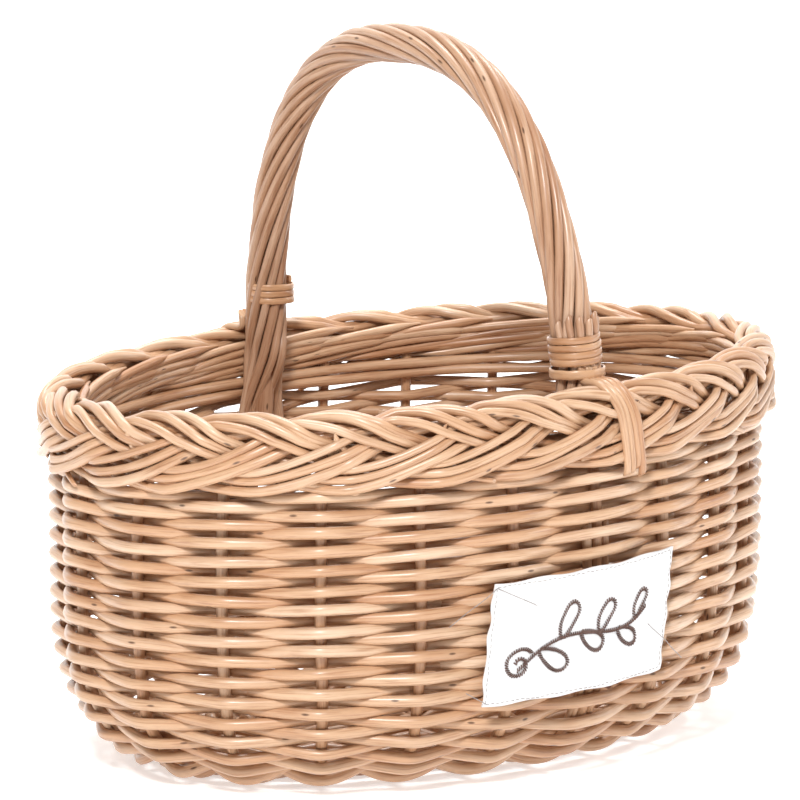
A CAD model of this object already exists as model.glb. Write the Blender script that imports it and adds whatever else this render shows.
"""Looks of the woven willow market basket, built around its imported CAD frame.

Lengths are in millimetres while a shape is worked out, and in metres once it is a mesh.
The plan of the wall, border and handle repeats the driving values of the CAD part.
"""
import math

import bpy
import numpy as np
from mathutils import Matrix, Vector


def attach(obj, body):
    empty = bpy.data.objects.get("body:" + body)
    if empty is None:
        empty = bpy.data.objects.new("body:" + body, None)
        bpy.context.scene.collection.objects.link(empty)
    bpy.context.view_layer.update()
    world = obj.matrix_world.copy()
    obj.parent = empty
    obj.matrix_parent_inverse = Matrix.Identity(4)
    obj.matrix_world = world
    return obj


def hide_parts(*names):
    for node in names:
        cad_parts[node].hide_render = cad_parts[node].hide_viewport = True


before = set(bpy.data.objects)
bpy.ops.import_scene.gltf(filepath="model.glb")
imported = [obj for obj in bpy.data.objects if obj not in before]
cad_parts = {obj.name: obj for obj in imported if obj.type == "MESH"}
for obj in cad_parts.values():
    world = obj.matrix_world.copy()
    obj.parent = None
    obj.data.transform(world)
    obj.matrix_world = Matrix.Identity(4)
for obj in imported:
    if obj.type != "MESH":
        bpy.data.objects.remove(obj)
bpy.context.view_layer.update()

MM = 0.001
TURN = 2 * math.pi

# ---- shape of the basket (mm)
WALL_LENGTH, WALL_WIDTH = 184.5, 141.0
FLOOR_LENGTH, FLOOR_WIDTH = 132.0, 69.0
TURN_HEIGHT, FULLNESS, WEAVE_TOP = 92.0, 2.8, 151.0
WALL_BASE = 9.2
RISE = TURN_HEIGHT - WALL_BASE
STAKES = 22
ROWS, ROW_NODES = 30, 26
FIRST_RUN = 37.0
WEAVE_OUT = 5.5
PAIR_OUT = 6.0
PAIR_TWIST = 2.6
PAIR_RUNS = (13.0, 26.0)
LINER_HOLD = 9.5
BORDER_OUT, BORDER_LOW, BORDER_RISE, FOLD_RADIUS = 8.0, 156.8, 23.0, 6.5
FOLD_ANGLE = math.radians(130)
HANDLE_SPAN, HANDLE_FOOT, HANDLE_CROWN = 123.5, 160.0, 345.0
HANDLE_SQUARE = 2.45
BASE_PLANE = 17.0
# The maker's rim and handle lean a little: up on one side, and over toward the other.
LEAN = math.tan(math.radians(2.0))
LEAN_SIDE = np.array([0.788, -0.616])
LEAN_FULL, LEAN_STILL = 110.0, 195.0
# The handle's front leg stands to the right by this much, fading out up the handle.
FRONT_FOOT_SHIFT, FOOT_REACH = 4.0, 90.0


# ---- plan and profile tables
FLAT_START = 0.0005     # keeps the profile's slope finite at the very foot
TANGENT_STEP = 0.012


def unit(v):
    return v / np.linalg.norm(v, axis=-1, keepdims=True)


def arc_table(points):
    steps = np.linalg.norm(np.diff(points, axis=0), axis=1)
    return np.concatenate([[0.0], np.cumsum(steps)])


oval_angle = np.radians(np.arange(-90, 270.01, 0.25))
oval_arc = arc_table(np.stack([WALL_LENGTH * np.cos(oval_angle), WALL_WIDTH * np.sin(oval_angle)], 1))
RIM = float(oval_arc[-1])


def around(f):
    """Angle on the oval for a fraction of the way round the rim, from the front middle."""
    whole = np.floor(f)
    return np.interp((f - whole) * RIM, oval_arc, oval_angle) + whole * TURN


def swell(z):
    lift = np.clip((z - WALL_BASE) / RISE, FLAT_START, 1)
    return (1 - (1 - lift) ** FULLNESS) ** (1 / FULLNESS)


def flare(z):
    lift = np.clip((z - WALL_BASE) / RISE, FLAT_START, 1)
    return (1 - lift) ** (FULLNESS - 1) * swell(z) ** (1 - FULLNESS) / RISE


def wall_point(f, z, out):
    """Point at a fraction round the wall and a height, moved out from the wall's centre surface."""
    f, z, out = np.broadcast_arrays(*(np.asarray(v, float) for v in (f, z, out)))
    a = around(f)
    grow_x, grow_y = WALL_LENGTH - FLOOR_LENGTH, WALL_WIDTH - FLOOR_WIDTH
    hx = FLOOR_LENGTH + grow_x * swell(z)
    hy = FLOOR_WIDTH + grow_y * swell(z)
    c, s = np.cos(a), np.sin(a)
    n = np.stack([c / hx, s / hy, -flare(z) * (grow_x * c * c / hx + grow_y * s * s / hy)], -1)
    return np.stack([hx * c, hy * s, z], -1) + out[..., None] * unit(n)


q = np.radians(np.arange(0, 90.01, 0.5))
GROW = (WALL_LENGTH - FLOOR_LENGTH + WALL_WIDTH - FLOOR_WIDTH) / 2
profile = np.stack([GROW * np.sin(q) ** (2 / FULLNESS),
                    WALL_BASE + RISE * (1 - np.cos(q) ** (2 / FULLNESS))], 1)
profile_arc = arc_table(profile)
ROUND_RUN = float(profile_arc[-1])
WEAVE_RUN = ROUND_RUN + WEAVE_TOP - TURN_HEIGHT


def level(run):
    """Height for a distance measured up the wall from the start of its round part."""
    run = np.asarray(run, float)
    return np.where(run > ROUND_RUN, TURN_HEIGHT + run - ROUND_RUN,
                    np.interp(run, profile_arc, profile[:, 1]))


def signed_power(v, p):
    return np.sign(v) * np.abs(v) ** p


arch_t = np.linspace(0, math.pi, 721)
arch_line = np.stack([-HANDLE_SPAN * signed_power(np.cos(arch_t), 2 / HANDLE_SQUARE),
                      HANDLE_FOOT + (HANDLE_CROWN - HANDLE_FOOT)
                      * np.abs(np.sin(arch_t)) ** (2 / HANDLE_SQUARE)], 1)
arch_arc = arc_table(arch_line)
ARCH = float(arch_arc[-1])


def arch_point(k):
    """Point on the handle's middle line, k from 0 at the front foot to 1 at the back foot."""
    s = np.clip(k, 0, 1) * ARCH
    y, z = np.interp(s, arch_arc, arch_line[:, 0]), np.interp(s, arch_arc, arch_line[:, 1])
    return np.stack([FRONT_FOOT_SHIFT * np.exp(-(s / FOOT_REACH) ** 2), y, z], -1)


def arch_tangent(k):
    return unit(arch_point(np.clip(k + TANGENT_STEP, 0, 1)) - arch_point(np.clip(k - TANGENT_STEP, 0, 1)))


# ---- mesh building
def new_object(name, data):
    made = bpy.data.objects.new(name, data)
    bpy.context.scene.collection.objects.link(made)
    return made


CHAMFER = 0.18          # how much a cut rod end is rounded, in radii
SPLINE_STEPS = 24
GRAIN_LENGTH = 40       # the grain of each rod starts somewhere in this many metres


def smooth_step(t):
    t = np.clip(t, 0, 1)
    return t * t * (3 - 2 * t)


def wander(t, rng, waves=(2, 3, 5, 7, 11), size=1.0):
    """A smooth wandering value of about +-size; it repeats when t goes from 0 to 1."""
    total = np.zeros_like(np.asarray(t, float))
    for w in waves:
        total += np.sin(TURN * (w * t + rng.random())) * rng.uniform(0.5, 1.0)
    return size * total / math.sqrt(len(waves))


def uneven(count, rng, waves, size):
    """A factor close to 1 for each point of a rod, for its small changes of thickness."""
    return 1 + wander(np.linspace(0, 1, count), rng, waves, size)


def spline(points, count):
    """Catmull-Rom curve through the points, resampled to even steps."""
    p = np.asarray(points, float)
    ext = np.vstack([2 * p[0] - p[1], p, 2 * p[-1] - p[-2]])
    fine = []
    for i in range(len(p) - 1):
        a, b, c, d = ext[i:i + 4]
        t = np.linspace(0, 1, SPLINE_STEPS, endpoint=False)[:, None]
        fine.append(0.5 * (2 * b + (c - a) * t + (2 * a - 5 * b + 4 * c - d) * t ** 2
                           + (3 * b - a - 3 * c + d) * t ** 3))
    fine = np.vstack(fine + [p[-1:]])
    arc = arc_table(fine)
    s = np.linspace(0, arc[-1], count)
    return np.stack([np.interp(s, arc, fine[:, i]) for i in range(3)], 1)


def tangents(p, closed):
    return unit(np.roll(p, -1, 0) - np.roll(p, 1, 0) if closed else np.gradient(p, axis=0))


def leaned(co):
    """Moves points by the lean of the rim and handle; the foot stays flat on the floor."""
    share = smooth_step(co[:, 2] / LEAN_FULL)[:, None]
    side = co[:, :2] @ LEAN_SIDE
    shifted = co[:, :2] - LEAN * np.maximum(0, co[:, 2:] - LEAN_STILL) * LEAN_SIDE
    return np.hstack([shifted, co[:, 2:] + share * LEAN * side[:, None]])


class Piece:
    """Collects swept rods into one mesh."""

    def __init__(self):
        self.co, self.loops, self.totals, self.uv, self.tone = [], [], [], [], []
        self.count = 0

    def add(self, co, faces, uv, tone):
        self.co.append(co)
        self.loops.append((faces + self.count).ravel())
        self.totals.append(np.full(len(faces), faces.shape[1]))
        self.uv.append(uv.reshape(-1, 2))
        self.tone.append(np.broadcast_to(tone, (len(co),)))
        self.count += len(co)

    def rod(self, points, radius, rng, sides=10, axis=(0, 0, 1), closed=False, tone=None,
            cut=(0.0, 0.0), lumps=0.02):
        """Sweeps a rod along points. radius is one value or one per point, and cut is how
        slanted each cut end is."""
        p = np.asarray(points, float)
        r = np.broadcast_to(np.asarray(radius, float), (len(p),)).copy()
        axis = np.broadcast_to(np.asarray(axis, float), p.shape)
        tone = np.broadcast_to(rng.uniform(0.42, 0.82) if tone is None else tone, (len(p),))
        if not closed:
            t = tangents(p, False)
            first, last = p[:1] - t[:1] * r[0] * CHAMFER, p[-1:] + t[-1:] * r[-1] * CHAMFER
            p = np.vstack([first, p, last])
            axis = np.vstack([axis[:1], axis, axis[-1:]])
            r = np.concatenate([[r[0] * (1 - CHAMFER)], r, [r[-1] * (1 - CHAMFER)]])
            tone = np.concatenate([tone[:1], tone, tone[-1:]])
        t = tangents(p, closed)
        u = unit(np.cross(axis, t))
        v = np.cross(t, u)
        n = len(p)
        arc = arc_table(np.vstack([p, p[:1]]) if closed else p)
        turn = TURN * np.arange(sides) / sides
        shape = 1 + lumps * np.sin(2 * turn + rng.random() * TURN)
        cx, cy = np.cos(turn) * shape, np.sin(turn) * shape
        ring_co = cx[None, :, None] * u[:, None] + cy[None, :, None] * v[:, None]
        co = p[:, None] + r[:, None, None] * ring_co
        if not closed:
            for end, step, slant in ((0, 1, cut[0]), (n - 1, -1, cut[1])):
                for ring in (end, end + step):
                    co[ring] -= step * slant * r[end] * (1 + cx[:, None]) * t[end]
        start = rng.random() * GRAIN_LENGTH
        caps = None if closed else [np.stack([np.cos(turn), np.sin(turn)], 1) * r[ring] for ring in (0, -1)]
        self.tube(co, arc, float(r.mean()) * TURN, start, tone, caps)

    def tube(self, co, arc, girth, start, tone, caps, flip=False):
        """Adds rings of points joined into a tube. caps is the outline of each flat end, or
        None for a closed tube, and flip turns the faces of a mirrored outline outward."""
        n, sides = co.shape[:2]
        rings = n if caps is None else n - 1
        i = np.arange(rings)[:, None] * sides
        j = (np.arange(rings)[:, None] + 1) % n * sides
        k = np.arange(sides)[None]
        m = (k + 1) % sides
        faces = np.stack([i + k, i + m, j + m, j + k], -1).reshape(-1, 4)
        grid = np.stack(np.meshgrid(arc[:rings + 1] * MM + start,
                                    np.arange(sides + 1) / sides * girth * MM, indexing="ij"), -1)
        uv = np.stack([grid[:-1, :-1], grid[:-1, 1:], grid[1:, 1:], grid[1:, :-1]], 2)
        if flip:
            faces, uv = faces[:, ::-1], uv[:, :, ::-1]
        base = self.count
        self.add(co.reshape(-1, 3), faces, uv, np.repeat(np.broadcast_to(tone, (n,)), sides))
        if caps is not None:
            for ring, order, outline in ((0, -1, caps[0]), (n - 1, 1, caps[1])):
                step = -order if flip else order
                self.loops.append(base + ring * sides + np.arange(sides)[::step])
                self.totals.append(np.array([sides]))
                self.uv.append(outline * MM + (start, 0))

    def build(self, name, material, *nodes):
        """Makes the mesh object. It stands for the CAD nodes given, and takes its finish from
        the record's slot named as the material, without the number that Blender adds."""
        mesh = bpy.data.meshes.new(name)
        co = leaned(np.concatenate(self.co)) * MM
        loops = np.concatenate(self.loops)
        totals = np.concatenate(self.totals)
        mesh.vertices.add(len(co))
        mesh.vertices.foreach_set("co", co.ravel().astype(np.float32))
        mesh.loops.add(len(loops))
        mesh.loops.foreach_set("vertex_index", loops.astype(np.int32))
        mesh.polygons.add(len(totals))
        starts = np.concatenate([[0], np.cumsum(totals)[:-1]])
        mesh.polygons.foreach_set("loop_start", starts.astype(np.int32))
        mesh.polygons.foreach_set("loop_total", totals.astype(np.int32))
        mesh.update(calc_edges=True)
        mesh.validate()
        layer = mesh.uv_layers.new(name="grain")
        layer.data.foreach_set("uv", np.concatenate(self.uv).ravel().astype(np.float32))
        attribute = mesh.attributes.new("tone", "FLOAT", "POINT")
        attribute.data.foreach_set("value", np.concatenate(self.tone).astype(np.float32))
        mesh.polygons.foreach_set("use_smooth", totals == 4)
        mesh.materials.append(material)
        obj = new_object(name, mesh)
        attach(obj, "root")
        if nodes:
            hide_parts(*nodes)
        return obj


# ---- materials
def new_material(name):
    material = bpy.data.materials.new(name)
    material.use_nodes = True
    tree = material.node_tree
    tree.nodes.clear()
    out = tree.nodes.new("ShaderNodeOutputMaterial")
    shader = tree.nodes.new("ShaderNodeBsdfPrincipled")
    tree.links.new(shader.outputs["BSDF"], out.inputs["Surface"])
    return material, tree, shader


def set_values(made, **values):
    """Sets a node's properties, and its inputs by name with _ for a space."""
    for key, value in values.items():
        if hasattr(made, key):
            setattr(made, key, value)
        else:
            made.inputs[key.replace("_", " ")].default_value = value
    return made


def node(tree, kind, **values):
    return set_values(tree.nodes.new(kind), **values)


def feed(tree, value, socket):
    """Links another node's output to a socket, or sets the socket's own value."""
    if hasattr(value, "is_output"):
        tree.links.new(value, socket)
    else:
        socket.default_value = (*value, 1) if isinstance(value, tuple) else value


def ramp(tree, fac, stops):
    made = tree.nodes.new("ShaderNodeValToRGB")
    elements = made.color_ramp.elements
    while len(elements) < len(stops):
        elements.new(0.5)
    for element, (place_at, colour) in zip(elements, stops):
        element.position = place_at
        element.color = (*colour, 1)
    tree.links.new(fac, made.inputs["Fac"])
    return made.outputs["Color"]


def mix(tree, kind, fac, a, b):
    made = node(tree, "ShaderNodeMix", data_type="RGBA", blend_type=kind)
    feed(tree, fac, made.inputs["Factor"])
    for socket in made.inputs:
        if socket.type == "RGBA":
            feed(tree, a if socket.name == "A" else b, socket)
    return [o for o in made.outputs if o.type == "RGBA"][0]


def maths(tree, kind, a, b):
    made = node(tree, "ShaderNodeMath", operation=kind)
    for socket, value in zip(made.inputs, (a, b)):
        feed(tree, value, socket)
    return made.outputs[0]


def add_bump(tree, shader, height, strength, depth):
    bump = node(tree, "ShaderNodeBump", Strength=strength, Distance=depth)
    tree.links.new(height, bump.inputs["Height"])
    tree.links.new(bump.outputs["Normal"], shader.inputs["Normal"])


EYE_COLOUR = (0.085, 0.036, 0.015)
COAT_ROUGHNESS = 0.22
BUMP_STRENGTH, BUMP_DEPTH = 0.55, 0.0004


def willow(name, palette, gloss=0.4, coat=0.35, speck=0.5):
    """Peeled, buffed and varnished willow: streaks along the rod, mottling, dark eyes."""
    material, tree, shader = new_material(name)
    tone = node(tree, "ShaderNodeAttribute", attribute_name="tone").outputs["Fac"]
    uv = node(tree, "ShaderNodeUVMap", uv_map="grain").outputs["UV"]

    def coordinates(along, across):
        scaled = node(tree, "ShaderNodeMapping", Scale=(along, across, 1))
        tree.links.new(uv, scaled.inputs["Vector"])
        return scaled.outputs["Vector"]

    def noise(along, across, detail):
        made = node(tree, "ShaderNodeTexNoise", noise_dimensions="2D", Scale=1.0, Detail=detail,
                    Roughness=0.55)
        tree.links.new(coordinates(along, across), made.inputs["Vector"])
        return made.outputs["Fac"]

    streak = noise(45, 1100, 3)
    mottle = noise(22, 90, 3)
    broad = noise(6, 8, 2)
    eyes = node(tree, "ShaderNodeTexVoronoi", voronoi_dimensions="2D", Scale=1.0)
    tree.links.new(coordinates(75, 240), eyes.inputs["Vector"])
    eye_shape = ramp(tree, eyes.outputs["Distance"],
                     [(0.0, (1, 1, 1)), (0.10, (0.75, 0.75, 0.75)), (0.17, (0, 0, 0))])
    eye_pick = ramp(tree, eyes.outputs["Color"],
                    [(0.0, (0, 0, 0)), (1 - speck * 0.22, (0, 0, 0)), (1 - speck * 0.2, (1, 1, 1))])
    eye = maths(tree, "MULTIPLY", eye_shape, eye_pick)

    colour = ramp(tree, tone, [(i / (len(palette) - 1), c) for i, c in enumerate(palette)])
    for share, source, dark_at, dark, clear_at in (
            (0.75, mottle, 0.28, (0.76, 0.64, 0.54), 0.5), (0.7, broad, 0.3, (0.84, 0.74, 0.66), 0.62),
            (0.7, streak, 0.28, (0.62, 0.47, 0.36), 0.5)):
        stain = ramp(tree, source, [(dark_at, dark), (clear_at, (1, 1, 1))])
        colour = mix(tree, "MULTIPLY", share, colour, stain)
    colour = mix(tree, "MIX", eye, colour, EYE_COLOUR)
    tree.links.new(colour, shader.inputs["Base Color"])

    rough = node(tree, "ShaderNodeMapRange", To_Min=gloss - 0.08, To_Max=gloss + 0.14)
    tree.links.new(streak, rough.inputs["Value"])
    tree.links.new(rough.outputs["Result"], shader.inputs["Roughness"])
    set_values(shader, Coat_Weight=coat, Coat_Roughness=COAT_ROUGHNESS)
    height = maths(tree, "MULTIPLY", mottle, 0.5)
    height = maths(tree, "ADD", maths(tree, "MULTIPLY", streak, 0.35), height)
    height = maths(tree, "SUBTRACT", height, maths(tree, "MULTIPLY", eye, 0.5))
    add_bump(tree, shader, height, BUMP_STRENGTH, BUMP_DEPTH)
    return material


# Palettes from a rod's darkest tone to its palest.
BUFF = [(0.18, 0.067, 0.028), (0.38, 0.180, 0.088), (0.51, 0.287, 0.156), (0.59, 0.385, 0.240),
        (0.69, 0.510, 0.370)]
PALE = [(0.24, 0.110, 0.052), (0.38, 0.202, 0.112), (0.49, 0.303, 0.190), (0.57, 0.400, 0.290)]
GOLD = [(0.36, 0.180, 0.085), (0.57, 0.330, 0.180), (0.68, 0.440, 0.265), (0.78, 0.570, 0.400)]
BROWN = [(0.15, 0.060, 0.030), (0.33, 0.160, 0.090), (0.45, 0.260, 0.160), (0.54, 0.350, 0.240)]
weaver_willow = willow("weaver_willow", BUFF, speck=0.8)
stake_willow = willow("stake_willow", BUFF, gloss=0.45)
foot_willow = willow("foot_willow", BROWN, gloss=0.48, coat=0.2)
stick_willow = willow("stick_willow", BUFF, gloss=0.5, coat=0.15)
base_willow = willow("base_willow", BUFF, gloss=0.48, coat=0.2)
border_willow = willow("border_willow", BUFF, speck=0.8)
handle_willow = willow("handle_willow", PALE, speck=0.8)
skein_willow = willow("skein_willow", GOLD, gloss=0.33, coat=0.45, speck=0.2)


# ---- camera and light
AZIMUTH, ELEVATION = math.radians(-38.0), math.radians(9.39)
DISTANCE = 2.319
LENS, SENSOR, CLIP_END = 210.9, 36.0, 50
MIDDLE_HEIGHT = 0.18
AIM_LEFT, AIM_DOWN = 0.00613, 0.01173     # the basket stands a little off the picture's middle
back = Vector((math.sin(AZIMUTH) * math.cos(ELEVATION), -math.cos(AZIMUTH) * math.cos(ELEVATION),
               math.sin(ELEVATION)))
right = Vector((math.cos(AZIMUTH), math.sin(AZIMUTH), 0))
up = back.cross(right)
middle = Vector((0, 0, MIDDLE_HEIGHT))
eye_at = middle + back * DISTANCE
aim_at = middle - right * AIM_LEFT - up * AIM_DOWN
camera_data = bpy.data.cameras.new("camera")
camera_data.lens = LENS
camera_data.sensor_width = SENSOR
camera_data.clip_end = CLIP_END
camera = new_object("camera", camera_data)
camera.location = eye_at
camera.rotation_euler = (aim_at - eye_at).to_track_quat("-Z", "Y").to_euler()
bpy.context.scene.camera = camera


def area_light(name, place_at, size, power, target=(0, 0, 0.15)):
    data = bpy.data.lights.new(name, "AREA")
    data.shape = "DISK"
    data.size = size
    data.energy = power
    light = new_object(name, data)
    light.location = place_at
    light.rotation_euler = (Vector(target) - light.location).to_track_quat("-Z", "Y").to_euler()


area_light("key", (-1.5, -1.4, 1.9), 0.5, 64)
area_light("fill", (1.7, -1.1, 1.0), 1.0, 12)
area_light("top", (0.3, 0.3, 2.2), 1.2, 20)
area_light("backdrop", (0.4, 1.0, 2.6), 1.6, 70, target=(1.2, 2.6, 0.6))

WORLD_STRENGTH = 0.34
world = bpy.data.worlds.new("studio")
world.use_nodes = True
world.node_tree.nodes["Background"].inputs["Color"].default_value = (1, 1, 1, 1)
world.node_tree.nodes["Background"].inputs["Strength"].default_value = WORLD_STRENGTH
bpy.context.scene.world = world
bpy.context.scene.view_settings.view_transform = "Standard"


# ---- stakes
STAKE_RUNS = np.linspace(4, 165, 60)
STAKE_SWAY = 0.5
STAKE_BUTT, STAKE_TIP = 2.9, 2.7        # radii
STAKE_STEPS = 90
TUCK_HEIGHTS, TUCK_OUT = np.array([160.0, 168, 176]), -2.6
ROOT_STEPS = ((34, 8), (18, 7), (6, 2))     # how far in from the wall, and how far up


def build_stakes(name, numbers, node_name):
    """Stakes that come out of the base, go up the wall and end inside the border."""
    piece = Piece()
    for j in numbers:
        rng = np.random.default_rng(500 + j)
        f0 = j / STAKES
        t = (STAKE_RUNS - STAKE_RUNS[0]) / (STAKE_RUNS[-1] - STAKE_RUNS[0])
        sway = wander(t * 0.7, rng, (1, 2, 3), STAKE_SWAY)
        line = wall_point(f0 + sway / RIM, level(STAKE_RUNS), 0)
        line = line[line[:, 2] < WEAVE_TOP + 1]
        tuck = wall_point(f0, TUCK_HEIGHTS, TUCK_OUT)
        foot = wall_point(f0, WALL_BASE + 0.1, 0)
        inward = foot * np.array([1, 1, 0])
        inward /= np.linalg.norm(inward)
        root = np.stack([foot - inward * inset + (0, 0, lift) for inset, lift in ROOT_STEPS])
        path = spline(np.vstack([root, line[::3], tuck]), STAKE_STEPS)
        a = float(around(np.array(f0)))
        side = np.array([-math.sin(a), math.cos(a), 0])
        taper = np.linspace(STAKE_BUTT, STAKE_TIP, len(path))
        taper = taper * uneven(len(path), rng, (2, 3, 5, 7, 11), 0.02)
        piece.rod(path, taper, rng, axis=side, cut=(0.6, 0))
    piece.build(name, stake_willow, node_name)


build_stakes("stakes_of_front", (0, 1, 2, 20, 21), "stakes_front")
build_stakes("stakes_of_right", range(3, 9), "stakes_right")
build_stakes("stakes_of_back", range(9, 14), "stakes_back")
build_stakes("stakes_of_left", range(14, 20), "stakes_left")


# ---- randing rows
ROW_PARTS = 2           # rods in a row
ROW_LAP = 13.0          # how far each rod runs on past the stake that it ends behind
ROW_STEP = 2.6
ROW_HOLD = 0.8          # half the width over which a rod lies flat on a stake
ROW_SWELL = 1.06
ROW_SOFTENING = [0.1, 0.2, 0.4, 0.2, 0.1]
ROW_CROWDING = 0.16
ROW_RADIUS, ROW_THINNING, ROW_TAPER = 2.88, 0.14, 0.15
ROW_LEVEL, ROW_LIFT = 0.9, 0.19
START_SINK = 5.6
WOBBLE = 0.025


def row_out(f, row):
    """How far a row stands out of the wall's centre surface: it bends at every stake."""
    where, bend = [], []
    for j in range(-2, STAKES + 3):
        sign = 1 if (j + row) % 2 == 0 else -1
        hold = (ROW_HOLD if j % (STAKES // 2) else LINER_HOLD) / RIM
        where += [j / STAKES - hold, j / STAKES + hold]
        bend += [sign * WEAVE_OUT] * 2
    where, bend = np.array(where), np.array(bend)
    g = f - np.floor(f)
    i = np.clip(np.searchsorted(where, g, side="right") - 1, 0, len(where) - 2)
    t = np.clip((g - where[i]) / (where[i + 1] - where[i]), 0, 1)
    straight = bend[i] + (bend[i + 1] - bend[i]) * t
    return np.convolve(np.pad(straight, 2, mode="edge"), ROW_SOFTENING, "valid") * ROW_SWELL


def row_run(row):
    """Distance of a row up the wall; the rows lie a little closer together near the top."""
    share = row / (ROWS - 1)
    return FIRST_RUN + (WEAVE_RUN - FIRST_RUN) * (share + ROW_CROWDING * share * (1 - share))


def row_point(f, run, out):
    """Point of a row: it stands out from the wall more level than the wall's own slope."""
    base = wall_point(f, level(run), 0)
    normal = wall_point(f, level(run), 1) - base
    flat = unit(normal * np.array([1, 1, ROW_LEVEL]))
    reach = out / (normal * flat).sum(-1)
    return base + reach[:, None] * flat + np.array([0, 0, 1]) * (ROW_LIFT * out)[:, None]


def row_ends(row, rng):
    """The stakes behind which a row's rods end, spread evenly from a random one."""
    inside = [j for j in range(STAKES) if (j + row) % 2 == 1 and j % (STAKES // 2) != 0]
    first = inside[rng.integers(len(inside))]
    ends = [first]
    for n in range(1, ROW_PARTS):
        wanted = (first + n * STAKES / ROW_PARTS) % STAKES
        ends.append(min((j for j in inside if j not in ends),
                        key=lambda j: min(abs(j - wanted), STAKES - abs(j - wanted))))
    return sorted(ends)


def build_row(row):
    rng = np.random.default_rng(9000 + row)
    piece = Piece()
    ends = row_ends(row, rng)
    phases = rng.random(5)
    thick = ROW_RADIUS - ROW_THINNING * row / (ROWS - 1)
    for n, start in enumerate(ends):
        stop = ends[(n + 1) % len(ends)]
        if stop <= start:
            stop += STAKES
        f = np.arange(start / STAKES - ROW_LAP / RIM, stop / STAKES + ROW_LAP / RIM, ROW_STEP / RIM)
        s = (f - start / STAKES) * RIM
        out = row_out(f, row) - START_SINK * (1 - smooth_step((s + 2) / 16))
        sway = sum(np.sin(TURN * (w * f + ph)) for w, ph in zip((3, 5, 7, 11, 13), phases)) * 0.22
        radius = np.linspace(thick + ROW_TAPER, thick - ROW_TAPER, len(f))
        radius = radius * uneven(len(f), rng, (3, 7, 12), WOBBLE)
        tone = rng.uniform(0.5, 0.86) + 0.07 * out / WEAVE_OUT
        path = row_point(f, row_run(row) + sway, out)
        piece.rod(path, radius, rng, cut=(0.9, 0.9), tone=tone)
    cad_row = 1 + round(row * (ROW_NODES - 1) / (ROWS - 1))
    piece.build(f"willow_row_{row + 1:02d}", weaver_willow, f"weave_row_{cad_row:02d}")


for row in range(ROWS):
    build_row(row)


# ---- twisted pairs at the foot
PAIR_RADIUS, PAIR_STEP = 2.95, 2.4


def build_pair(number, rod):
    rng = np.random.default_rng(700 + 10 * number + rod)
    piece = Piece()
    sign = 1 if rod == 0 else -1
    f = np.arange(0, 1, PAIR_STEP / RIM)
    out = sign * PAIR_OUT * np.cos(math.pi * STAKES * f)
    run = PAIR_RUNS[number] + sign * PAIR_TWIST * np.sin(math.pi * STAKES * f)
    run = run + wander(f, rng, size=0.3)
    radius = PAIR_RADIUS * (1 + wander(f, rng, (3, 7, 12), 0.03))
    piece.rod(wall_point(f, level(run), out), radius, rng, closed=True)
    name = f"foot_pair_{('low', 'high')[number]}_{'ab'[rod]}"
    piece.build("willow_" + name, weaver_willow, name)


for number in (0, 1):
    for rod in (0, 1):
        build_pair(number, rod)


# ---- foot: a rope of three rods
FOOT_RODS, FOOT_TURNS, FOOT_STEPS = 3, 15, 420
FOOT_RADIUS = 2.75
FOOT_SPREAD, FOOT_HEIGHT, FOOT_LIFT = 2.6, 5.0, 2.2


def build_foot():
    piece = Piece()
    a = np.linspace(0, TURN, FOOT_STEPS, endpoint=False)
    centre = np.stack([FLOOR_LENGTH * np.cos(a), FLOOR_WIDTH * np.sin(a)], 1)
    arc = arc_table(np.vstack([centre, centre[:1]]))
    f = arc[:-1] / arc[-1]
    normal = unit(np.stack([np.cos(a) / FLOOR_LENGTH, np.sin(a) / FLOOR_WIDTH], 1))
    for k in range(FOOT_RODS):
        rng = np.random.default_rng(40 + k)
        turn = TURN * (FOOT_TURNS * f + k / FOOT_RODS)
        plan = centre + normal * (FOOT_SPREAD * np.cos(turn))[:, None]
        path = np.column_stack([plan, FOOT_HEIGHT + FOOT_LIFT * np.sin(turn)])
        piece.rod(path, FOOT_RADIUS * (1 + wander(f, rng, (5, 9), 0.02)), rng, closed=True)
    piece.build("foot_rope", foot_willow, "foot_ring")


build_foot()


# ---- woven base
CROSS_X = (-66, -44, -22, 0, 22, 44, 66)
LONG_Y = (-12, 0, 12)
STICK_LENGTH, STICK_WIDTH = FLOOR_LENGTH - 10, FLOOR_WIDTH - 10
RING_INSET, RING_PITCH, RING_WAVE, RING_STEPS = 4, 5.2, 5.2, 360
LONG_RADIUS, CROSS_RADIUS, RING_RADIUS = 2.5, 3.6, 2.45


def build_sticks(name, places, along, seed, bend, **look):
    """Straight sticks across the base; along is 0 for those that run from end to end."""
    piece = Piece()
    reach, room = ((STICK_LENGTH, STICK_WIDTH), (STICK_WIDTH, STICK_LENGTH))[along]
    for i, at in enumerate(places):
        rng = np.random.default_rng(seed + i)
        half = reach * math.sqrt(1 - (at / room) ** 2)
        path = np.full((40 - 10 * along, 3), BASE_PLANE)
        path[:, along] = np.linspace(-half, half, len(path))
        path[:, 1 - along] = at + wander(path[:, along] / (400 - 100 * along) + 0.5, rng, (1, 2), bend)
        piece.rod(path, rng=rng, **look)
    piece.build(name, stick_willow, "base_" + name)


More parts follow.
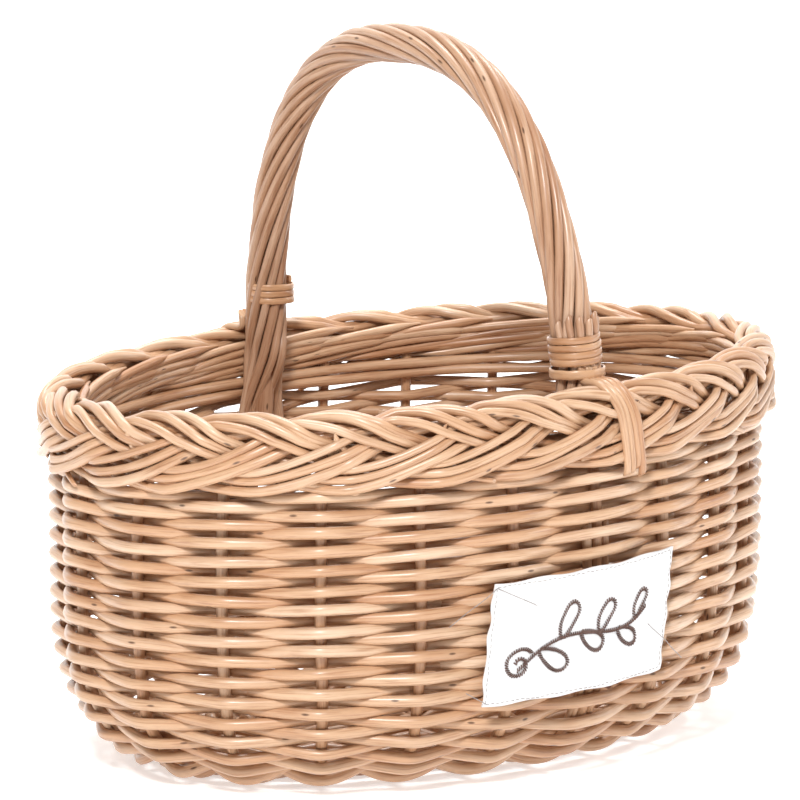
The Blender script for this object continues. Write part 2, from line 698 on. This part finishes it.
def ring_path(ring):
    """A rod round the base, over one stick and under the next."""
    p = STICK_LENGTH - RING_INSET - ring * RING_PITCH
    w = STICK_WIDTH - RING_INSET - ring * RING_PITCH
    crossings = []
    for y in LONG_Y:
        crossings += [math.asin(y / w), math.pi - math.asin(y / w)]
    for x in CROSS_X:
        crossings += [math.acos(x / p), -math.acos(x / p)]
    crossings = np.sort(np.mod(crossings, TURN))
    a = np.linspace(0, TURN, RING_STEPS, endpoint=False)
    ends = np.concatenate([[crossings[-1] - TURN], crossings, [crossings[0] + TURN]])
    i = np.searchsorted(ends, a, side="right") - 1
    t = (a - ends[i]) / (ends[i + 1] - ends[i])
    sign = np.where((i + ring) % 2 == 0, 1, -1)
    height = sign * np.cos(math.pi * t) * RING_WAVE
    return np.stack([p * np.cos(a), w * np.sin(a), BASE_PLANE + height], 1)


def build_base_weave(name, rings, node_name):
    piece = Piece()
    for ring in rings:
        rng = np.random.default_rng(80 + ring)
        piece.rod(ring_path(ring), RING_RADIUS, rng, sides=8, closed=True)
    piece.build(name, base_willow, node_name)


build_sticks("long_sticks", LONG_Y, 0, 60, 0.4, radius=LONG_RADIUS)
build_sticks("cross_sticks", CROSS_X, 1, 70, 0.3, radius=CROSS_RADIUS, sides=12, lumps=0.05)
build_base_weave("base_weaving_outer", (-2, -1, 0, 1), "base_weave_outer")
build_base_weave("base_weaving_middle", (2, 3), "base_weave_middle")
build_base_weave("base_weaving_inner", (4, 5, 6, 7, 8), "base_weave_inner")


# ---- plaited border
BORDER_RUN = BORDER_RISE + FOLD_RADIUS * FOLD_ANGLE
STRANDS = "abcde"
WAVES = 5
STRAND_RODS = 3
PLAIT_SPREAD = 4.7
SWING = BORDER_RUN / 2 - PLAIT_SPREAD + 1.0
STRAND_LIFT, STRAND_FLATNESS = 2.7, 2.2
STRAND_RADIUS, STRAND_STEP = 2.3, 2.2


def rim_point(f, radial, height):
    """Point by its distance out from the wall's centre line and its height."""
    f, radial, height = np.broadcast_arrays(*(np.asarray(v, float) for v in (f, radial, height)))
    a = around(f)
    n = unit(np.stack([np.cos(a) / WALL_LENGTH, np.sin(a) / WALL_WIDTH], -1))
    return np.stack([WALL_LENGTH * np.cos(a) + n[..., 0] * radial,
                     WALL_WIDTH * np.sin(a) + n[..., 1] * radial, height], -1)


def plait_point(f, u, w):
    """Point on the plait: u is the distance up its folded section, w outward from it."""
    turn = np.maximum(0, u - BORDER_RISE) / FOLD_RADIUS
    radial = BORDER_OUT - FOLD_RADIUS + (FOLD_RADIUS + w) * np.cos(turn)
    height = BORDER_LOW + np.minimum(u, BORDER_RISE) + (FOLD_RADIUS + w) * np.sin(turn)
    return rim_point(f, radial, height)


def strand_line(strand, rod, f, rng):
    """One rod of a plait strand: it leaves each edge over the others and reaches it under them."""
    phase = TURN * (WAVES * f + strand / len(STRANDS)) + wander(f, rng, (4, 7, 9), 0.10)
    slope = SWING * np.cos(phase) * TURN * WAVES / RIM
    spread = PLAIT_SPREAD + wander(f, rng, (6, 11, 17), 0.35)
    across = (rod - (STRAND_RODS - 1) / 2) * spread / np.sqrt(1 + slope ** 2)
    lift = -STRAND_LIFT * np.clip(STRAND_FLATNESS * np.sin(2 * phase), -1, 1)
    lift = lift + 0.5 * np.cos(phase * 5 + rod) + wander(f, rng, (9, 14, 23), 0.3)
    u = BORDER_RUN / 2 + SWING * np.sin(phase) + across + wander(f, rng, (8, 13, 19), 0.4)
    return plait_point(f - across * slope / RIM, np.maximum(u, -1.0), lift)


def build_strand(piece, strand, rod):
    rng = np.random.default_rng(300 + 10 * strand + rod)
    f = np.arange(0, 1, STRAND_STEP / RIM)
    p = strand_line(strand, rod, f, rng)
    wave = (WAVES * f + strand / len(STRANDS)) % 1
    radius = STRAND_RADIUS + 0.28 * np.cos(TURN * (wave - 0.2 * rod)) + wander(f, rng, (3, 7, 12), 0.10)
    tone = rng.uniform(0.5, 0.8) + 0.10 * np.cos(TURN * 2 * (wave + 0.125))
    piece.rod(p, radius, rng, closed=True, tone=tone)


def build_border():
    for strand, letter in enumerate(STRANDS):
        piece = Piece()
        for rod in range(STRAND_RODS):
            build_strand(piece, strand, rod)
        piece.build("plait_strand_" + letter, border_willow, "border_strand_" + letter)


LINING_GROUPS, LINING_RODS = 25, 3
LINING_TOP, LINING_PITCH, LINING_DROP = 183.5, 3.6, 9.5
LINING_OUT, LINING_SINK = -9.4, 2.4
LINING_BUTT, LINING_TIP = 2.35, 1.9
UPPER_LOW, UPPER_PITCH, UPPER_RADIUS, UPPER_OUT = 158.0, 5.6, 2.6, -7.9


def build_border_lining():
    """Ends of the border rods laid along the inner face, each over the tail of the one before."""
    piece = Piece()
    rng = np.random.default_rng(401)
    s = np.linspace(0, 1, 44)
    ends = smooth_step(s / 0.14) * smooth_step((1 - s) / 0.2)
    for g in range(LINING_GROUPS):
        f0 = (g + rng.uniform(-0.15, 0.15)) / LINING_GROUPS
        for rod in range(LINING_RODS):
            f = f0 + (rod * 4 + rng.uniform(115, 150) * s) / RIM
            top = LINING_TOP - LINING_PITCH * rod + rng.uniform(-0.5, 0.5)
            height = top - LINING_DROP * smooth_step(s * 0.9 + 0.05)
            height = height + 0.8 * np.sin(TURN * s + rng.random() * 6)
            radial = LINING_OUT + LINING_SINK * smooth_step(s * 1.3) + 0.4 * rod
            radial = radial + wander(s * 0.6, rng, (1, 2, 3), 0.3) + LINING_SINK * (1 - ends)
            radius = np.linspace(LINING_BUTT, LINING_TIP, len(s)) * rng.uniform(0.9, 1.1)
            piece.rod(rim_point(f, radial, height), radius * (0.3 + 0.7 * ends), rng, sides=9, cut=(0.8, 0.6))
    piece.build("border_lining", border_willow, "border_strand_c")


def build_upper_rows():
    """The last inner rods, between the weaving and the lining of the border."""
    piece = Piece()
    f = np.arange(0, 1, ROW_STEP / RIM)
    for n in range(2):
        rng = np.random.default_rng(430 + n)
        radial = UPPER_OUT - np.cos(math.pi * STAKES * f + n * math.pi) + wander(f, rng, size=0.3)
        height = UPPER_LOW + UPPER_PITCH * n + wander(f, rng, size=0.5)
        radius = UPPER_RADIUS + wander(f, rng, (3, 7, 12), 0.1)
        piece.rod(rim_point(f, radial, height), radius, rng, closed=True)
    piece.build("border_inner_rows", border_willow, "border_strand_c")


LOW_TIPS, INNER_TIPS = 14, 15


def build_border_tips():
    """Thin cut tips that stand out under the border and between its strands."""
    piece = Piece()
    rng = np.random.default_rng(402)
    s = np.linspace(0, 1, 12)
    for g in range(LOW_TIPS):
        f0 = (g + rng.uniform(-0.4, 0.4)) / LOW_TIPS
        f = f0 + rng.uniform(16, 26) * s / RIM
        height = BORDER_LOW + 2 - rng.uniform(4, 8) * s ** 1.3
        radial = 6.2 + 2.6 * s + rng.uniform(-0.4, 0.4)
        piece.rod(rim_point(f, radial, height), np.linspace(1.7, 1.05, len(s)), rng, sides=8, cut=(0, 1.4))
    s = np.linspace(0, 1, 10)
    for g in range(INNER_TIPS):
        f0 = (g + rng.uniform(-0.4, 0.4)) / INNER_TIPS
        f = f0 + rng.uniform(-9, 4) * s / RIM
        height = BORDER_LOW + rng.uniform(12, 17) + 9 * s
        piece.rod(rim_point(f, 7.2 + 2.2 * s, height), np.linspace(2.1, 1.7, len(s)), rng, sides=8,
                  axis=(0.3, 0.2, 0.1), cut=(0, 1.5))
    piece.build("border_tips", border_willow, "border_strand_d")


build_border()
build_border_lining()
build_upper_rows()
build_border_tips()


# ---- handle
ROPE_RODS, ROPE_TURNS = 10, 2.2
ROPE_OUT, ROPE_SPREAD = 7.35, 1.5       # the rods stand further out near the feet
ROPE_BUTT, ROPE_TIP = 2.55, 2.1
ROPE_GROUPS = {"first": (0, 1, 2, 9), "second": (3, 4, 5), "third": (6, 7, 8)}
BOW_RADIUS, LEG_BOTTOM, LEG_TOP = 4.9, 112, 148
BOW_LEG = WALL_WIDTH - WEAVE_OUT - 8.9
ROPE_LEG = WALL_WIDTH - WEAVE_OUT - 7.5
LINER_OFFSET, LINER_RADIUS = 5.1, 2.35
X_AXIS = (1, 0, 0)


def leg_end(leg, spread, depth):
    """Where a handle rod goes below the arch: down the inside of the wall."""
    return np.array([[spread * 0.7, leg * ROPE_LEG, LEG_TOP], [spread, leg * ROPE_LEG, depth]])


def build_bow():
    bow = Piece()
    front = [[0, -BOW_LEG, z] for z in (LEG_BOTTOM, 130, 145)]
    back_leg = [[0, BOW_LEG, z] for z in (145, 130, LEG_BOTTOM)]
    path = np.vstack([front, arch_point(np.linspace(0, 1, 120))[2:-2], back_leg])
    bow.rod(spline(path[::2], 160), BOW_RADIUS, np.random.default_rng(11), sides=14, axis=X_AXIS,
            cut=(0.8, 0.8))
    bow.build("bow", handle_willow, "handle_bow")


def build_rope():
    """The rods roped round the bow from one leg to the other."""
    k = np.linspace(0.012, 0.988, 150)
    t = arch_tangent(k)
    across = np.stack([np.zeros_like(k), -t[:, 2], t[:, 1]], 1)
    for title, group in ROPE_GROUPS.items():
        piece = Piece()
        for i in group:
            rng = np.random.default_rng(120 + i)
            radius = ROPE_OUT + ROPE_SPREAD * (1 - np.sin(math.pi * k)) ** 1.6
            radius = radius + wander(k, rng, (2, 3, 5, 8), 0.22)
            turn = TURN * (i / ROPE_RODS + ROPE_TURNS * k + wander(k, rng, (1, 2, 3), 0.006))
            p = arch_point(k) + radius[:, None] * (np.cos(turn)[:, None] * across
                                                   + np.sin(turn)[:, None] * np.array(X_AXIS))
            front = leg_end(-1, p[0, 0] * 1.5, rng.uniform(118, 140))[::-1]
            back_leg = leg_end(1, p[-1, 0] * 1.9, rng.uniform(112, 138))
            path = spline(np.vstack([front, p[2::4], back_leg]), 190)
            thick = np.linspace(ROPE_BUTT, ROPE_TIP, len(path))[::-1 if i % 2 else 1]
            thick = thick * uneven(len(path), rng, (4, 9, 13), 0.02)
            piece.rod(path, thick, rng, sides=9, axis=X_AXIS, cut=(0.9, 0.9))
        piece.build("roped_rods_" + title, handle_willow, "handle_rods_" + title)


def build_liners():
    """Rods beside the stakes, between which the handle's legs are pushed down."""
    piece = Piece()
    runs = np.linspace(58, 152, 40)
    for leg in (-1, 1):
        for hand in (-1, 1):
            rng = np.random.default_rng(150 + leg * 2 + hand)
            f0 = (0 if leg < 0 else 0.5) + hand * LINER_OFFSET / RIM
            sway = wander(np.linspace(0, 1, len(runs)) * 0.6, rng, (1, 2), 0.3)
            path = wall_point(f0 + sway / RIM, level(runs), 0)
            path = path[path[:, 2] < WEAVE_TOP]
            piece.rod(path, LINER_RADIUS, rng, axis=X_AXIS, cut=(0.8, 0.8))
    piece.build("liners", stake_willow, "handle_liners")


build_bow()
build_rope()
build_liners()


def leg_centre(z, leg):
    k = np.interp(z, arch_line[:200, 1], arch_arc[:200] / ARCH)
    p = arch_point(k)
    return np.stack([p[..., 0], leg * np.abs(p[..., 1]), np.asarray(z, float)], -1)


RIBBON_SIDES, RIBBON_SQUARE, RIBBON_CUP = 12, 0.6, 0.18
SKEIN_THICK, SKEIN_STEPS, SKEIN_TUCK = 1.1, 44, 1.5


def ribbon(piece, points, normals, width, thick, rng):
    """A flat strip: points along its middle, normals across its thickness."""
    p = np.asarray(points, float)
    t = tangents(p, False)
    n = unit(normals)
    side = unit(np.cross(t, n))
    turn = TURN * np.arange(RIBBON_SIDES) / RIBBON_SIDES
    cx = signed_power(np.cos(turn), RIBBON_SQUARE) * width / 2
    cy = signed_power(np.sin(turn), RIBBON_SQUARE) * thick / 2 - RIBBON_CUP * thick * np.cos(turn) ** 2
    co = p[:, None] + cx[None, :, None] * side[:, None] + cy[None, :, None] * n[:, None]
    start = rng.random() * GRAIN_LENGTH
    ahead = np.cross(co[0, 1] - co[0, 0], co[1, 0] - co[0, 0])
    flip = np.dot(ahead, co[0, 0] - p[0]) < 0
    outline = np.stack([cx, cy], 1)
    piece.tube(co, arc_table(p), 2 * width, start, rng.random(), [outline, outline], flip)


def build_skein(name, leg, low, turns, pitch, width, wide, node_name, seed):
    """A flat skein wound round a leg."""
    rng = np.random.default_rng(seed)
    piece = Piece()
    t = np.linspace(0, turns, int(SKEIN_STEPS * turns))
    angle = TURN * t * -leg + 0.6
    z = low + width / 2 + pitch * t + wander(t / turns, rng, (3, 5, 9), 0.2)
    radius = wide + wander(t / turns, rng, (7, 13, 19), 0.2)
    for from_end in (t, turns - t):
        radius = radius - SKEIN_TUCK * (1 - smooth_step(from_end / 0.1))
    out = np.stack([np.cos(angle), np.sin(angle), np.zeros(len(t))], 1)
    ribbon(piece, leg_centre(z, leg) + radius[:, None] * out, out, width, SKEIN_THICK, rng)
    piece.build(name, skein_willow, node_name)


build_skein("binding_of_front", -1, 197.5, 4.1, 3.45, 3.4, 12.3, "handle_binding_front", 21)
build_skein("binding_of_back", 1, 204.0, 3.2, 3.45, 3.4, 11.8, "handle_binding_back", 22)
build_skein("band_of_front", -1, 192.8, 1.1, 0.5, 4.6, 12.9, "handle_band", 23)


STUBS, STUB_RADIUS, STUB_FOOT, STUB_TOP = 6, 1.9, 199, 217


def build_stubs():
    """Cut rod ends that stand up out of the front binding."""
    piece = Piece()
    for i in range(STUBS):
        rng = np.random.default_rng(190 + i)
        angle = math.radians(-165 + 27 * i) + rng.uniform(-0.05, 0.05)
        out = np.array([math.cos(angle), math.sin(angle), 0])
        z = np.linspace(STUB_FOOT, STUB_TOP + rng.uniform(0, 4), 14)
        reach = 10.0 + 1.2 * smooth_step((z - 210) / 8)
        path = leg_centre(z, -1) + reach[:, None] * out
        piece.rod(path, STUB_RADIUS, rng, sides=9, axis=X_AXIS, cut=(0, 1.1))
    piece.build("binding_stubs", handle_willow, "handle_rods_first")


build_stubs()


LAPS, LAP_PITCH, LAP_REACH = 4, 3.1, 9.3
LAP_BUTT, LAP_TIP = 1.95, 1.8
LAP_OVER = BORDER_LOW + BORDER_RISE + FOLD_RADIUS + 5.6
LAP_OUT = WALL_WIDTH + BORDER_OUT + 5.4


def build_laps():
    """Four rods from under each leg's band, over the border and down outside it."""
    piece = Piece()
    for leg in (-1, 1):
        for i in range(LAPS):
            rng = np.random.default_rng(170 + i + 10 * leg)
            x = LAP_PITCH * i - 1.2
            beside = HANDLE_SPAN + math.sqrt(LAP_REACH ** 2 - (x - FRONT_FOOT_SHIFT) ** 2)
            low = BORDER_LOW - rng.uniform(0, 5)
            route = [(x, beside, 197.5), (x, beside, 193.5), (x, beside + 4, 192),
                     (x + 0.6, WALL_WIDTH + 3.5, LAP_OVER - 0.5), (x + 3.0, LAP_OUT - 3.0, LAP_OVER - 7),
                     (x + 5.8, LAP_OUT, LAP_OVER - 17), (x + 9.4, LAP_OUT - 0.4, low + 2),
                     (x + 10.4, LAP_OUT - 1.6, low - 4)]
            path = spline([[-leg * along, leg * out, z] for along, out, z in route], 60)
            radius = np.linspace(LAP_BUTT, LAP_TIP, len(path))
            piece.rod(path, radius, rng, axis=X_AXIS, cut=(1.2, 1.0))
    piece.build("lapping_rods", border_willow, "lap_rods")


build_laps()


# ---- label
LABEL_WIDTH, LABEL_HEIGHT = 106.0, 58.0
LABEL_LOW, LABEL_CLEAR = 49.5, 6.6
LABEL_TILT, LABEL_ROLL = math.radians(4.6), math.radians(2)
LABEL_BEND = WALL_LENGTH ** 2 / WALL_WIDTH + LABEL_CLEAR
LABEL_MIDDLE = math.radians(-93)
LABEL_SHEAR = 0.10


def label_point(x, z, out):
    """Point of the label, x from its middle to the right, z up from its lower edge."""
    x, z, out = np.broadcast_arrays(*(np.asarray(v, float) for v in (x, z, out)))
    a = LABEL_MIDDLE + x / LABEL_BEND
    radius = LABEL_BEND + 2.6 + out
    px, py = radius * np.cos(a), radius * np.sin(a) + LABEL_BEND
    y = py * math.cos(LABEL_TILT) - z * math.sin(LABEL_TILT)
    rise = py * math.sin(LABEL_TILT) + z * math.cos(LABEL_TILT)
    across = px * math.cos(LABEL_ROLL) - rise * math.sin(LABEL_ROLL)
    across = across + LABEL_SHEAR * (z - LABEL_HEIGHT / 2)
    upward = px * math.sin(LABEL_ROLL) + rise * math.cos(LABEL_ROLL)
    return np.stack([across, y - WALL_WIDTH - LABEL_CLEAR, upward + LABEL_LOW], -1)


THREAD_SCALE = 420


def finish_cloth(tree, shader, colour, roughness):
    tree.links.new(colour, shader.inputs["Base Color"])
    set_values(shader, Roughness=roughness, Sheen_Weight=0.3)


def cotton_material():
    material, tree, shader = new_material("cotton")
    uv = node(tree, "ShaderNodeUVMap", uv_map="grain").outputs["UV"]
    waves = [node(tree, "ShaderNodeTexWave", wave_type="BANDS", bands_direction=way, Scale=THREAD_SCALE)
             for way in "XY"]
    cloud = node(tree, "ShaderNodeTexNoise", Scale=60, Detail=4)
    for made in (*waves, cloud):
        tree.links.new(uv, made.inputs["Vector"])
    threads = maths(tree, "ADD", *(made.outputs["Fac"] for made in waves))
    colour = ramp(tree, cloud.outputs["Fac"], [(0.3, (0.70, 0.70, 0.71)), (0.6, (0.79, 0.79, 0.79))])
    finish_cloth(tree, shader, colour, 0.9)
    add_bump(tree, shader, threads, 0.25, 0.0002)
    return material


def thread_material(name, low, high):
    material, tree, shader = new_material(name)
    uv = node(tree, "ShaderNodeUVMap", uv_map="grain").outputs["UV"]
    twist = node(tree, "ShaderNodeTexNoise", Scale=900)
    tree.links.new(uv, twist.inputs["Vector"])
    colour = ramp(tree, twist.outputs["Fac"], [(0.35, low), (0.65, high)])
    finish_cloth(tree, shader, colour, 0.75)
    return material


cotton = cotton_material()
brown_thread = thread_material("brown_thread", (0.055, 0.022, 0.014), (0.12, 0.055, 0.038))
grey_thread = thread_material("grey_thread", (0.20, 0.17, 0.16), (0.36, 0.32, 0.30))


def label_relief(x, z):
    """Small hills of the cloth where it lies over the weaving and puckers at its hem."""
    return (0.35 * np.sin(z * 0.52 + 0.4 * np.sin(x * 0.13)) + 0.5 * np.sin(x * 0.067 + 0.6)
            + 0.3 * np.sin(x * 0.21 + z * 0.11))


STITCH_AXIS, HEM_AXIS = (0.2, 0.95, 0.25), (0.1, 0.9, 0.2)
STITCH_RADIUS, STITCH_HALF, STITCH_PITCH = 0.36, 0.8, 1.15
HEM_WIDTH, HEM_STITCH, HEM_RADIUS, HEM_INSET = 3.4, 2.6, 0.17, 1.4
CLOTH_FACE, CLOTH_REAR = -1.2, -1.8
TIE_RADIUS = 0.2
SPRIG_LEAVES = 6


def surface(x, z, out):
    """Point at a height above the face of the cloth."""
    return label_point(x, z, label_relief(np.asarray(x, float), np.asarray(z, float)) + CLOTH_FACE + out)


def build_cloth():
    """The label: a hemmed cloth with a face, a rear and an edge."""
    nx, nz = 117, 61
    x = np.linspace(-LABEL_WIDTH / 2, LABEL_WIDTH / 2, nx)
    z = np.linspace(0, LABEL_HEIGHT, nz)
    gx, gz = np.meshgrid(x, z, indexing="ij")
    edge = np.minimum(LABEL_WIDTH / 2 - np.abs(gx), np.minimum(gz, LABEL_HEIGHT - gz))
    hem = 0.35 * smooth_step((HEM_WIDTH - edge) / 0.8)
    pucker = 0.5 * smooth_step((6 - edge) / 6)
    wavy_x = gx + pucker * np.sin(gz * 0.35)
    wavy_z = gz + pucker * np.sin(gx * 0.21 + 1)
    face = label_point(wavy_x, wavy_z, label_relief(gx, gz) + hem + CLOTH_FACE)
    rear = label_point(wavy_x, wavy_z, label_relief(gx, gz) - hem + CLOTH_REAR)
    co = np.concatenate([face.reshape(-1, 3), rear.reshape(-1, 3)])
    index = np.arange(nx * nz).reshape(nx, nz)
    quads = np.stack([index[:-1, :-1], index[1:, :-1], index[1:, 1:], index[:-1, 1:]], -1).reshape(-1, 4)
    rim = np.concatenate([index[:, 0], index[-1, 1:], index[-2::-1, -1], index[0, -2:0:-1]])
    following = np.roll(rim, -1)
    edge_quads = np.stack([rim, rim + nx * nz, following + nx * nz, following], -1)
    faces = np.concatenate([quads, quads[:, ::-1] + nx * nz, edge_quads])
    flat_uv = np.stack([gx, gz], -1).reshape(-1, 2) * MM
    piece = Piece()
    piece.add(co, faces, np.concatenate([flat_uv, flat_uv])[faces], 0.5)
    return piece.build("label", cotton, "label_cloth")


def along_line(s, arc, p):
    return np.array([np.interp(s, arc, p[:, 0]), np.interp(s, arc, p[:, 1])])


def chain(piece, p, rng):
    """Chain stitch: short overlapping slanted loops along a line on the cloth."""
    arc = arc_table(p)
    count = max(2, int(arc[-1] / STITCH_PITCH))
    t = np.linspace(-1, 1, 7)
    for n in range(count):
        s = (n + 0.5) * arc[-1] / count
        d = along_line(s + 0.4, arc, p) - along_line(s - 0.4, arc, p)
        d /= np.linalg.norm(d)
        half = STITCH_HALF * rng.uniform(0.85, 1.1)
        line = (along_line(s, arc, p) + np.array([-d[1], d[0]]) * (t * half)[:, None]
                + d * (0.55 * t[:, None] + 0.2))
        path = surface(line[:, 0], line[:, 1], 0.35 + 0.35 * (1 - t ** 2))
        piece.rod(path, STITCH_RADIUS, rng, sides=6, axis=STITCH_AXIS, lumps=0)


def build_sprig(rng):
    """A generic embroidered sprig: a stem with leaves on both sides and a curl at its foot."""
    piece = Piece()
    t = np.linspace(0, 1, 80)
    stem = np.stack([-37 + 74 * t, 15 + 22 * t + 6 * np.sin(t * 5.6)], 1)
    chain(piece, stem, rng)
    a = np.linspace(0, TURN, 50)
    for n, s in enumerate(np.linspace(0.16, 0.9, SPRIG_LEAVES)):
        tilt = math.radians(68 if n % 2 else -32)
        size = 19 - 6 * s
        leaf = size * np.stack([0.5 - 0.5 * np.cos(a), 0.2 * np.sin(a) * (1.1 - 0.4 * np.cos(a))], 1)
        turn = np.array([[math.cos(tilt), math.sin(tilt)], [-math.sin(tilt), math.cos(tilt)]])
        chain(piece, along_line(s, t, stem) + leaf @ turn, rng)
    a = np.linspace(0, 1.4 * TURN, 60)
    reach = 1.5 + 0.75 * a
    chain(piece, np.stack([-36 - reach * np.cos(a), 18 + reach * np.sin(a)], 1), rng)
    return piece.build("label_sprig", brown_thread)


def build_hem(across, top, rng):
    piece = Piece()
    corners = [(-across, HEM_INSET), (across, HEM_INSET), (across, top), (-across, top),
               (-across, HEM_INSET)]
    lift = 0.30 + 0.2 * np.sin(np.linspace(0, math.pi, 5))
    for (x0, z0), (x1, z1) in zip(corners, corners[1:]):
        count = int(math.hypot(x1 - x0, z1 - z0) / HEM_STITCH)
        for n in range(count):
            jitter = rng.uniform(-0.25, 0.25)
            u = np.linspace((n + 0.15) / count, (n + 0.8) / count, 5)
            path = surface(x0 + (x1 - x0) * u, z0 + (z1 - z0) * u + jitter, lift)
            piece.rod(path, HEM_RADIUS, rng, sides=5, axis=HEM_AXIS, lumps=0)
    return piece.build("label_stitches", grey_thread)


def build_ties(across, top, rng):
    """Thin threads at the label's corners."""
    piece = Piece()
    u = np.linspace(0, 1, 16)
    for (x0, z0), (x1, z1), sag in (((-across, top), (-74, 41), 0.6), ((-across, top), (-29, 45), 0.5),
                                    ((40, 24), (68, 2), 0.6), ((-across, 2), (-62, 8), 0.4)):
        path = surface(x0 + (x1 - x0) * u, z0 + (z1 - z0) * u, 0.7 + sag * np.sin(math.pi * u))
        piece.rod(path, TIE_RADIUS, rng, sides=6, axis=HEM_AXIS, lumps=0)
    return piece.build("label_ties", grey_thread)


def build_label():
    rng = np.random.default_rng(77)
    across, top = LABEL_WIDTH / 2 - HEM_INSET, LABEL_HEIGHT - HEM_INSET
    label = build_cloth()
    sprig, hem, tie = build_sprig(rng), build_hem(across, top, rng), build_ties(across, top, rng)


build_label()


# ---- floor
FLOOR_REACH, FLOOR_BACK, FLOOR_BEND, FLOOR_TOP = 6.0, 2.2, 1.2, 5.0
BEND_STEPS = 24
FLOOR_GLOW = 0.5


def build_floor():
    """A pale floor that bends up into a backdrop, turned to face the camera."""
    material, tree, shader = new_material("pale_floor")
    texture = node(tree, "ShaderNodeTexNoise", Scale=3)
    colour = ramp(tree, texture.outputs["Fac"], [(0.3, (0.86, 0.86, 0.86)), (0.7, (0.88, 0.88, 0.88))])
    tree.links.new(colour, shader.inputs["Base Color"])
    set_values(shader, Roughness=0.9, Emission_Color=(1, 1, 1, 1), Emission_Strength=FLOOR_GLOW)
    line = [(-FLOOR_REACH, 0.0), (FLOOR_BACK, 0.0)]
    for i in range(1, BEND_STEPS + 1):
        a = math.pi / 2 * i / BEND_STEPS
        line.append((FLOOR_BACK + FLOOR_BEND * math.sin(a), FLOOR_BEND - FLOOR_BEND * math.cos(a)))
    line.append((FLOOR_BACK + FLOOR_BEND, FLOOR_TOP))
    c, s = math.cos(AZIMUTH), math.sin(AZIMUTH)
    co = [(x * c - y * s, x * s + y * c, z) for x in (-FLOOR_REACH, FLOOR_REACH) for y, z in line]
    n = len(line)
    faces = [(i, i + n, i + n + 1, i + 1) for i in range(n - 1)]
    mesh = bpy.data.meshes.new("floor")
    mesh.from_pydata(co, [], faces)
    mesh.polygons.foreach_set("use_smooth", [True] * len(faces))
    mesh.materials.append(material)
    floor = new_object("floor", mesh)


build_floor()
